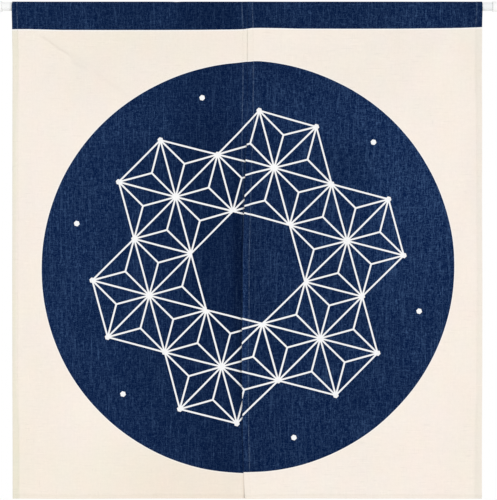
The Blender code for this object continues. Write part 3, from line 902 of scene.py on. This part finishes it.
def cloth_patterns(t):
    """The woven cloth's own detail, from its flat places: single threads, uneven yarn a
    few threads wide, and slubs."""
    c, s, _ = t.split(t.attribute("flat_at"))
    p = {}
    p["warp_thread"] = t.noise(c, s, 1350, 120, 3.1, 0.0)
    p["weft_thread"] = t.noise(c, s, 100, 1350, 7.7, 0.0)
    p["warp_yarn"] = t.noise(c, s, 560, 120, 19.3, 1.0)
    p["weft_yarn"] = t.noise(c, s, 150, 620, 23.9, 1.0)
    p["warp_slub"] = t.noise(c, s, 520, 52, 11.3, 0.0)
    p["weft_slub"] = t.noise(c, s, 44, 500, 15.9, 0.0)
    p["weft_streak"] = t.noise(c, s, 26, 330, 37.1, 1.0)
    p["warp_streak"] = t.noise(c, s, 420, 20, 47.3, 1.0)
    p["grain"] = t.noise(c, s, 640, 560, 53.9, 1.0)
    p["cloud"] = t.noise(c, s, 190, 190, 29.0, 1.0)
    p["patch"] = t.noise(c, s, 17, 26, 43.0, 1.0)
    return c, s, p


def slubs(t, p):
    """(dark, pale): 1 on the odd thick and thin lengths of yarn."""
    some = t.add(0.25, t.mul(t.step(p["patch"], 0.42, 0.62), 0.75))
    dark = t.math("MAXIMUM", t.step(p["weft_slub"], 0.700, 0.760), t.mul(t.step(p["warp_slub"], 0.735, 0.800), 0.8))
    pale = t.math("MAXIMUM", t.step(p["weft_slub"], 0.300, 0.240), t.mul(t.step(p["warp_slub"], 0.265, 0.200), 0.8))
    dark, pale = t.mul(dark, some), t.mul(pale, some)
    return dark, pale


def yarn_shade(t, p, dark, pale):
    """The undyed cloth's fine lights and darks, about 1."""
    shade = 1.0
    for key, amount in (("warp_thread", 0.012), ("weft_thread", 0.013), ("warp_yarn", 0.020), ("weft_yarn", 0.020),
                        ("weft_streak", 0.026), ("warp_streak", 0.024), ("cloud", 0.050)):
        shade = t.add(shade, t.mul(t.math("SUBTRACT", p[key], 0.5), amount))
    return t.add(shade, t.mul(dark, -0.046), t.mul(pale, 0.030))


def weave_height(t, c, s):
    """Plain weave, over and under, with threads that wander and vary."""
    pitch = 0.00082
    sway_c = t.mul(t.math("SUBTRACT", t.noise(c, s, 70, 24, 21.0, 1.0), 0.5), 0.9)
    sway_s = t.mul(t.math("SUBTRACT", t.noise(c, s, 24, 70, 27.0, 1.0), 0.5), 0.9)
    u = t.add(t.mul(c, 1 / pitch), sway_c, 400.0)
    v = t.add(t.mul(s, 1 / pitch), sway_s, 400.0)
    fu, fv = t.math("FRACT", u), t.math("FRACT", v)
    ru = t.math("SINE", t.mul(fu, math.pi))
    rv = t.math("SINE", t.mul(fv, math.pi))
    odd = t.math("FRACT", t.mul(t.add(t.math("FLOOR", u), t.math("FLOOR", v)), 0.5))
    odd = t.mul(odd, 2.0)
    warp = t.mul(ru, t.add(0.55, t.mul(rv, 0.45)))
    weft = t.mul(rv, t.add(0.55, t.mul(ru, 0.45)))
    return t.add(t.mul(warp, odd), t.mul(weft, t.math("SUBTRACT", 1.0, odd)))


def cloth_height(t, c, s, p):
    return t.add(
        t.mul(weave_height(t, c, s), 0.42),
        t.mul(p["warp_slub"], 0.9), t.mul(p["weft_slub"], 0.9),
        t.mul(p["warp_yarn"], 0.4), t.mul(p["weft_yarn"], 0.4),
        t.mul(p["warp_thread"], 0.3), t.mul(p["weft_thread"], 0.3),
    )


CREASE_LINES = [
    # the sharper lines of the left panel's crease, on the cloth: ends, half width, wander, painted shade along the
    # line, depth
    dict(x0=-0.3800, z0=-0.0490, x1=-0.3160, z1=-0.0932, wide=0.0024, wander=0.0044, soil_and_shade=0.85, depth=2.2),
    dict(x0=-0.3230, z0=-0.0965, x1=-0.2880, z1=-0.1150, wide=0.0044, wander=0.0040, soil_and_shade=0.50, depth=1.6),
    dict(x0=-0.2900, z0=-0.1120, x1=-0.2200, z1=-0.1580, wide=0.0050, wander=0.0060, soil_and_shade=0.22, depth=1.0),
]


def crease_lines(t, c, s):
    """(painted shade, depth) of the left panel's crease, from thin lines on the flat cloth."""
    wander = t.math("SUBTRACT", t.noise(c, s, 60, 60, 71.0, 1.0), 0.5)
    soil_and_shade = depth = 0.0
    for row in CREASE_LINES:
        c0, s0 = -row["x0"], row["z0"] - BOTTOM_Z
        dc, ds = -row["x1"] - c0, row["z1"] - BOTTOM_Z - s0
        size = math.hypot(dc, ds)
        from_c, from_s = t.math("SUBTRACT", c, c0), t.math("SUBTRACT", s, s0)
        along = t.mul(t.add(t.mul(from_c, dc), t.mul(from_s, ds)), 1 / size ** 2)
        side = t.add(t.mul(from_c, ds / size), t.mul(from_s, -dc / size), t.mul(wander, row["wander"]))
        ends = t.mul(t.step(along, 0.0, 0.22), t.step(along, 1.0, 0.82))
        line = t.mul(t.step(t.math("ABSOLUTE", side), row["wide"] * 1.5, 0.0), ends)
        soil_and_shade = t.add(t.mul(line, row["soil_and_shade"]), soil_and_shade)
        depth = t.add(t.mul(line, row["depth"]), depth)
    return soil_and_shade, depth


def cloth_face(name, width, top, shift, creased=False):
    t = Tree(name, shift)
    c, s, p = cloth_patterns(t)
    edge_in = t.math("MINIMUM", c, t.math("SUBTRACT", width, c))
    walk = t.split(t.attribute("flat_at"))[2]
    px, light, pz = t.split(t.attribute("print_at"))
    wob = t.mul(t.math("SUBTRACT", t.noise(c, s, 900, 900, 33.0, 0.0), 0.5), 0.0004)
    navy, line = design(t, t.add(px, wob), t.add(pz, wob))
    # printed once the hems were sewn, so what is turned behind stays plain
    bleed = t.mul(t.math("SUBTRACT", t.noise(c, s, 420, 420, 63.0, 2.0), 0.5), 0.0016)
    printed = t.mul(t.step(t.add(edge_in, bleed), -0.0011, -0.0004), t.step(t.add(s, bleed), top + 0.0024, top + 0.0010))
    navy, line = t.mul(navy, printed), t.mul(line, printed)
    rim = t.mul(print_rim(t, px, pz), printed)
    shade_and_tone = t.attribute("shade_and_tone")
    # cream cloth
    dark, pale = slubs(t, p)
    fine = yarn_shade(t, p, dark, pale)
    cream = t.colour("MULTIPLY", 1.0, (0.833, 0.757, 0.686), t.grey(fine))
    # the panel's painted shade and colour tone
    cream = t.colour("MULTIPLY", 1.0, cream, shade_and_tone)
    # hems: two layers, so a little denser and greener
    ragged = t.mul(t.math("SUBTRACT", t.noise(c, s, 30, 90, 41.0, 1.0), 0.5), 0.006)
    inner = t.step(t.add(c, ragged), 0.0116, 0.0090)
    bottom = t.step(t.add(s, ragged), BOTTOM_HEM + 0.0010, BOTTOM_HEM - 0.0012)
    cream = t.colour("MULTIPLY", t.mul(inner, 0.25), cream, (0.955, 0.960, 0.940))
    cream = t.colour("MULTIPLY", t.mul(bottom, 0.55), cream, (0.945, 0.945, 0.930))
    # painted shade: the cream darkens along the middle seam above the split, where the two panels meet
    seam = t.mul(t.step(t.math("ABSOLUTE", c), 0.0019, 0.0005), t.step(s, 0.660, 0.665))
    cream = t.colour("MULTIPLY", t.mul(seam, 0.9), cream, (0.890, 0.900, 0.890))
    if creased:
        soil_and_shade, depth = crease_lines(t, c, s)
        # painted shade: the cream darkens along the crease's thin lines
        cream = t.colour("MULTIPLY", soil_and_shade, cream, (0.935, 0.925, 0.925))
    # the navy print: yarns take the ink unevenly, so paler threads show through it
    heather = t.add(
        t.mul(t.step(p["warp_yarn"], 0.46, 0.84), 0.46),
        t.mul(t.step(p["weft_yarn"], 0.48, 0.84), 0.40),
        t.mul(t.step(p["grain"], 0.46, 0.80), 0.50),
        t.mul(t.step(p["warp_thread"], 0.48, 0.84), 0.30),
        t.mul(t.step(p["weft_thread"], 0.50, 0.84), 0.24),
        t.mul(t.step(p["warp_streak"], 0.50, 0.80), 0.34),
        t.mul(t.step(p["weft_slub"], 0.64, 0.82), 0.20),
    )
    # the print's lightness, with the painted highlight and shadow beside the split
    lift = t.add(1.0, light)
    heather = t.math("SUBTRACT", t.mul(heather, lift), 0.10)
    ink = t.colour("MIX", heather, (0.0002, 0.0074, 0.0409), (0.0307, 0.0652, 0.1453))
    ink = t.colour("MULTIPLY", 1.0, ink, t.grey(lift))
    # thread wear along the stitched lines and the folded edges
    near = t.math("ABSOLUTE", t.math("SUBTRACT", edge_in, walk))
    rub = t.mul(t.step(near, 0.0019, 0.0002), t.step(t.noise(c, s, 300, 240, 51.0, 1.0), 0.34, 0.66))
    ink = t.colour("MIX", t.mul(rub, 0.52), ink, (0.060, 0.095, 0.175))
    edge_near = t.math("MINIMUM", t.math("ABSOLUTE", c), t.math("ABSOLUTE", t.math("SUBTRACT", width, c)))
    wear = t.mul(t.step(edge_near, 0.0010, 0.0002), t.step(t.noise(c, s, 200, 90, 57.0, 1.0), 0.35, 0.70))
    ink = t.colour("MIX", t.mul(wear, 0.35), ink, (0.060, 0.090, 0.160))
    white = t.colour("MULTIPLY", 1.0, (0.850, 0.850, 0.850), t.grey(fine))
    colour = t.colour("MIX", rim, cream, white)
    colour = t.colour("MIX", navy, colour, ink)
    colour = t.colour("MIX", line, colour, white)
    t.put(t.shader.inputs["Base Color"], colour)
    rough = t.add(0.80, t.mul(t.math("SUBTRACT", p["warp_yarn"], 0.5), 0.14), t.mul(navy, -0.06))
    t.put(t.shader.inputs["Roughness"], rough)
    t.put(t.shader.inputs["Specular IOR Level"], t.add(0.16, t.mul(navy, -0.14)))
    t.put(t.shader.inputs["Sheen Weight"], t.add(0.06, t.mul(navy, -0.055)))
    t.shader.inputs["Sheen Roughness"].default_value = 0.45
    height = cloth_height(t, c, s, p)
    if creased:
        height = t.math("SUBTRACT", height, depth)
    t.put(t.shader.inputs["Normal"], t.bump(height, 0.00011, 0.8))
    return t.material


def cloth_back(name, width, shift):
    """The cloth's wrong side: undyed, with the print showing through faintly."""
    t = Tree(name, shift)
    c, s, p = cloth_patterns(t)
    px, light, pz = t.split(t.attribute("print_at"))
    navy, line = design(t, px, pz)
    shade_and_tone = t.attribute("shade_and_tone")
    dark, pale = slubs(t, p)
    cream = t.colour("MULTIPLY", 1.0, (0.810, 0.740, 0.660), t.grey(yarn_shade(t, p, dark, pale)))
    # the panel's painted shade and colour tone, on the back as well
    cream = t.colour("MULTIPLY", 1.0, cream, shade_and_tone)
    through = t.mul(t.math("SUBTRACT", navy, line),
                    t.add(0.30, t.mul(t.step(p["warp_yarn"], 0.35, 0.75), 0.14),
                          t.mul(t.step(p["weft_thread"], 0.45, 0.75), 0.08)))
    colour = t.colour("MIX", through, cream, (0.150, 0.190, 0.270))
    t.put(t.shader.inputs["Base Color"], colour)
    t.put(t.shader.inputs["Roughness"], t.add(0.82, t.mul(t.math("SUBTRACT", p["weft_yarn"], 0.5), 0.12)))
    t.shader.inputs["Specular IOR Level"].default_value = 0.16
    t.shader.inputs["Sheen Weight"].default_value = 0.06
    t.shader.inputs["Sheen Roughness"].default_value = 0.45
    t.put(t.shader.inputs["Normal"], t.bump(cloth_height(t, c, s, p), 0.00011, 0.8))
    return t.material


def thread_material():
    t = Tree("sewing_thread")
    px, behind, pz = t.split(t.attribute("print_at"))  # behind: 0 on the face, 1 behind, half where well inked
    navy, line = design(t, px, pz)
    place = t.nodes.new("ShaderNodeTexCoord").outputs["Object"]
    x, y, z = t.split(place)
    ply = t.math("SINE", t.mul(t.add(x, z, t.mul(y, 0.7)), 9000.0))
    fuzz = t.noise(x, z, 1500, 1500, 61.0, 2.0)
    shade = t.add(0.95, t.mul(ply, 0.05), t.mul(t.math("SUBTRACT", fuzz, 0.5), 0.16))
    face = t.step(behind, 0.80, 0.70)
    dyed = t.mul(t.mul(navy, face), t.math("SUBTRACT", 1.0, line))
    faded = t.step(t.noise(x, z, 130, 130, 67.0, 1.0), 0.36, 0.66)
    blue = t.colour("MIX", faded, (0.040, 0.078, 0.155), (0.165, 0.240, 0.365))
    blue = t.colour("MIX", t.step(behind, 0.20, 0.30), blue, (0.0075, 0.0215, 0.0640))
    colour = t.colour("MIX", dyed, (0.850, 0.785, 0.720), blue)
    t.put(t.shader.inputs["Base Color"], t.colour("MULTIPLY", 1.0, colour, t.grey(shade)))
    t.put(t.shader.inputs["Roughness"], t.add(0.66, t.mul(fuzz, 0.15)))
    t.shader.inputs["Specular IOR Level"].default_value = 0.10
    t.put(t.shader.inputs["Sheen Weight"], t.add(0.05, t.mul(dyed, -0.045)))
    t.put(t.shader.inputs["Normal"], t.bump(ply, 0.00004, 0.8))
    return t.material


def lacquer_material():
    t = Tree("white_lacquer")
    place = t.nodes.new("ShaderNodeTexCoord").outputs["Object"]
    x, y, z = t.split(place)
    n = t.nodes.new("ShaderNodeTexNoise")
    t.put(n.inputs["Vector"], t.join(t.mul(x, 18.0), t.mul(y, 520.0), t.mul(z, 520.0)))
    n.inputs["Detail"].default_value = 3.0
    n.inputs["Scale"].default_value = 1.0
    grain = n.outputs[0]
    m = t.nodes.new("ShaderNodeTexNoise")
    t.put(m.inputs["Vector"], t.join(t.mul(x, 210.0), t.mul(y, 210.0), t.mul(z, 210.0)))
    m.inputs["Detail"].default_value = 2.0
    m.inputs["Scale"].default_value = 1.0
    orange = m.outputs[0]
    soil_and_shade = t.mul(t.step(grain, 0.52, 0.78), 0.10)
    colour = t.colour("MIX", soil_and_shade, (0.846, 0.852, 0.850), (0.720, 0.710, 0.670))
    # rubbed slightly duller where the cloth slides
    away = t.math("ABSOLUTE", x)
    rubbed = t.mul(t.step(away, 0.434, 0.424), t.step(orange, 0.35, 0.70))
    colour = t.colour("MIX", t.mul(rubbed, 0.12), colour, (0.760, 0.750, 0.720))
    # the right end is a little greyer
    colour = t.colour("MIX", t.mul(t.step(x, 0.30, 0.43), 0.56), colour, (0.740, 0.765, 0.775))
    # painted shadow of the cloth's left end on the rod, by the pocket's mouth
    cloth_end_shadow = t.mul(t.step(away, 0.4315, 0.4260), t.add(0.45, t.mul(orange, 0.35)))
    cloth_end_shadow = t.mul(cloth_end_shadow, t.step(x, 0.1, -0.1))
    colour = t.colour("MIX", t.mul(cloth_end_shadow, 0.60), colour, (0.340, 0.360, 0.380))
    t.put(t.shader.inputs["Base Color"], colour)
    t.put(t.shader.inputs["Roughness"], t.add(0.26, t.mul(orange, 0.12), t.mul(rubbed, 0.15)))
    t.shader.inputs["Specular IOR Level"].default_value = 0.5
    t.put(t.shader.inputs["Normal"], t.bump(t.add(t.mul(grain, 0.8), t.mul(orange, 0.5)), 0.00003, 0.6))
    return t.material


def plastic_material():
    t = Tree("white_plastic")
    place = t.nodes.new("ShaderNodeTexCoord").outputs["Object"]
    x, y, z = t.split(place)
    n = t.nodes.new("ShaderNodeTexNoise")
    t.put(n.inputs["Vector"], place)
    n.inputs["Scale"].default_value = 2600.0
    n.inputs["Detail"].default_value = 2.0
    m = t.nodes.new("ShaderNodeTexNoise")
    t.put(m.inputs["Vector"], place)
    m.inputs["Scale"].default_value = 160.0
    m.inputs["Detail"].default_value = 3.0
    grime = t.mul(t.step(m.outputs[0], 0.45, 0.75), 0.16)
    colour = t.colour("MIX", grime, (0.868, 0.868, 0.864), (0.730, 0.720, 0.700))
    # the joint with the rod gathers a little dust
    joint = t.step(t.math("ABSOLUTE", x), 0.4462, 0.4444)
    colour = t.colour("MIX", t.mul(joint, 0.10), colour, (0.600, 0.590, 0.570))
    t.put(t.shader.inputs["Base Color"], colour)
    t.put(t.shader.inputs["Roughness"], t.add(0.40, t.mul(m.outputs[0], 0.16)))
    t.put(t.shader.inputs["Normal"], t.bump(n.outputs[0], 0.00002, 0.7))
    return t.material


# ============================================================ make the pieces
thread = thread_material()
lacquer = lacquer_material()
plastic = plastic_material()
grids = {}
for side in ("left", "right"):
    grid = grids[side] = Panel(side)
    shift = 0.0 if side == "left" else 1.4
    face = cloth_face("woven_face_" + side, grid.width, float(grid.s[grid.n_body + 20]), shift, side == "left")
    cloth = build_panel(grid, face, cloth_back("woven_back_" + side, grid.width, shift))
    top_s = grid.s[-1]
    quarter = math.pi * LAYER / 4
    stitch_s = grid.s[grid.n_body - 1]
    seed = 5 if side == "left" else 55
    runs = []
    # down both side hems: on the face, and behind on the turned strip
    for k, edge in enumerate(("inner", "outer")):
        runs.append((stitch_line(grid, edge, (0.0012, top_s - 0.0012), seed=seed + k), False))
        runs.append((stitch_line(grid, edge, (0.010, stitch_s - 0.002), behind=True, seed=seed + 4 + k), True))
    # along the bottom hem and the pocket
    runs.append((stitch_row(grid, s=BOTTOM_STITCH, c=(0.0012, grid.width - 0.0012), seed=seed + 10), False))
    runs.append((stitch_row(grid, s=-BOTTOM_STITCH, c=(0.0012, grid.width - 0.0012), seed=seed + 11), True))
    runs.append((stitch_row(grid, s=stitch_s, c=(0.0012, grid.width - 0.0012), seed=seed + 12), 0.5))
    runs.append((stitch_row(grid, s=top_s - 0.0021, c=(0.0012, grid.width - 0.0012), seed=seed + 13), True))
    stitches = make_stitches("hem_stitching_" + side, side, runs, thread)
    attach(cloth, "root")
    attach(stitches, "root")
    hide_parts("panel_" + side)

# the two panels are whipped together behind, down to the top of the split
seam_s = np.arange(-0.228, -0.040, 0.0042) - BOTTOM_Z
lines, normals = [], []
for s0 in seam_s:
    a, na = grids["left"].at(np.array(-0.0014), np.array(s0), 0.0)
    b, nb = grids["right"].at(np.array(-0.0014), np.array(s0 + 0.0016), 0.0)
    n = (na + nb) / 2
    n = n / np.linalg.norm(n)
    share = np.array([0.0, 0.12, 0.5, 0.88, 1.0])
    rise = np.array([-0.15, 0.22, 0.30, 0.22, -0.15]) * MM
    lines.append(a[None, :] * (1 - share[:, None]) + b[None, :] * share[:, None] + n[None, :] * rise[:, None])
    normals.append(np.repeat(n[None, :], 5, axis=0))
seam = make_stitches("middle_seam_stitching", "left", [((np.array(lines), np.array(normals)), True)], thread)
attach(seam, "root")


def arc_corner(r, h, round_r, outward, up):
    """A quarter circle at a corner of a turned outline."""
    pts = []
    for k in range(6):
        a = math.pi / 2 * k / 5
        if up:
            pts.append((r - round_r + round_r * math.sin(a), h + round_r - round_r * math.cos(a)))
        else:
            pts.append((r - round_r + round_r * math.cos(a), h - round_r + round_r * math.sin(a)))
    return pts


half = ROD_LENGTH / 2
rod_outline = [(ROD_RADIUS - 0.0004, -half)]
rod_outline += arc_corner(ROD_RADIUS, -half, 0.0002, True, True)
rod_outline += [(ROD_RADIUS, h) for h in np.linspace(-half + 0.004, half - 0.004, 60)]
rod_outline += arc_corner(ROD_RADIUS, half, 0.0002, True, False)
rod_outline += [(ROD_RADIUS - 0.0004, half)]
rod_bar = turned("rod_bar", rod_outline, 72, lacquer, 0.0, 1)
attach(rod_bar, "root")
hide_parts("rod")

pad_outline = [(0.0030, 0.0)] + arc_corner(PAD_RADIUS, 0.0, 0.0003, True, True)
pad_outline += [(PAD_RADIUS, h) for h in (0.0016, 0.0026, 0.0036, 0.0046)]
pad_outline += [(PAD_RADIUS - 0.00004, PAD_COLLAR)]
pad_outline += [(PAD_RADIUS + (PAD_TIP_RADIUS - PAD_RADIUS) * f, PAD_COLLAR + (PAD_LENGTH - 0.0007 - PAD_COLLAR) * f)
                for f in (0.08, 0.3, 0.6, 0.9)]
pad_outline += arc_corner(PAD_TIP_RADIUS, PAD_LENGTH, 0.0007, True, False)
pad_outline += [(PAD_TIP_RADIUS - 0.0016, PAD_LENGTH), (PAD_TIP_RADIUS - 0.0020, PAD_LENGTH - 0.00025), (0.0020, PAD_LENGTH - 0.00025)]
for side, sign in (("left", -1), ("right", 1)):
    pad = turned("rod_pad_" + side, pad_outline, 72, plastic, sign * (half + PIECE_GAP), sign)
    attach(pad, "root")
    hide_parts("rod_end_" + side)

# ============================================================ floor, light and camera
scene = bpy.context.scene
scene.view_settings.view_transform = "Standard"
scene.view_settings.look = "None"

floor_tree = Tree("pale_floor")
floor_tree.shader.inputs["Base Color"].default_value = (0.94, 0.94, 0.93, 1.0)
floor_tree.shader.inputs["Roughness"].default_value = 0.9
# the floor is lit from below like a light table, so the rod's underside isn't dark
floor_tree.shader.inputs["Emission Color"].default_value = (1.0, 1.0, 1.0, 1.0)
floor_tree.shader.inputs["Emission Strength"].default_value = 0.17
floor_size = 7.0
floor = new_object("floor", [(-floor_size, -floor_size, -1.95), (floor_size, -floor_size, -1.95),
                             (floor_size, floor_size, -1.95), (-floor_size, floor_size, -1.95)],
                   [(0, 1, 2, 3)], (floor_tree.material,))

world = bpy.data.worlds.new("studio")
scene.world = world
world.use_nodes = True
nodes, links = world.node_tree.nodes, world.node_tree.links
nodes.clear()
out = nodes.new("ShaderNodeOutputWorld")
seen, lit, mix, path = (nodes.new("ShaderNodeBackground"), nodes.new("ShaderNodeBackground"),
                        nodes.new("ShaderNodeMixShader"), nodes.new("ShaderNodeLightPath"))
seen.inputs["Color"].default_value = (1, 1, 1, 1)
seen.inputs["Strength"].default_value = 1.0
lit.inputs["Color"].default_value = (1, 1, 1, 1)
lit.inputs["Strength"].default_value = 0.79
links.new(path.outputs["Is Camera Ray"], mix.inputs[0])
links.new(lit.outputs[0], mix.inputs[1])
links.new(seen.outputs[0], mix.inputs[2])
links.new(mix.outputs[0], out.inputs[0])


sun = bpy.data.lights.new("key", "SUN")
sun.energy, sun.angle = 0.975, math.radians(24)
key = bpy.data.objects.new("key", sun)
key.rotation_euler = Vector((-0.52, 0.80, -0.30)).to_track_quat("-Z", "Y").to_euler()
key.location = (2.0, -3.0, 1.0)
scene.collection.objects.link(key)

fill_sun = bpy.data.lights.new("fill", "SUN")
fill_sun.energy, fill_sun.angle = 0.42, math.radians(60)
fill = bpy.data.objects.new("fill", fill_sun)
fill.rotation_euler = Vector((0.30, 0.75, 0.55)).to_track_quat("-Z", "Y").to_euler()
fill.location = (-2.0, -3.0, -1.5)
scene.collection.objects.link(fill)

camera_data = bpy.data.cameras.new("camera")
camera = bpy.data.objects.new("camera", camera_data)
scene.collection.objects.link(camera)
scene.camera = camera
camera.location = ((248.5 - 247.3) * PIX, -3.5, (6.47 - 250.0) * PIX)
camera.rotation_euler = (math.radians(90), 0.0, 0.0)
camera_data.sensor_fit = "AUTO"
camera_data.sensor_width = 36.0
camera_data.lens = 36.0 * (3.5 - 0.002) / (500.0 * PIX)
camera_data.clip_start, camera_data.clip_end = 0.05, 60.0
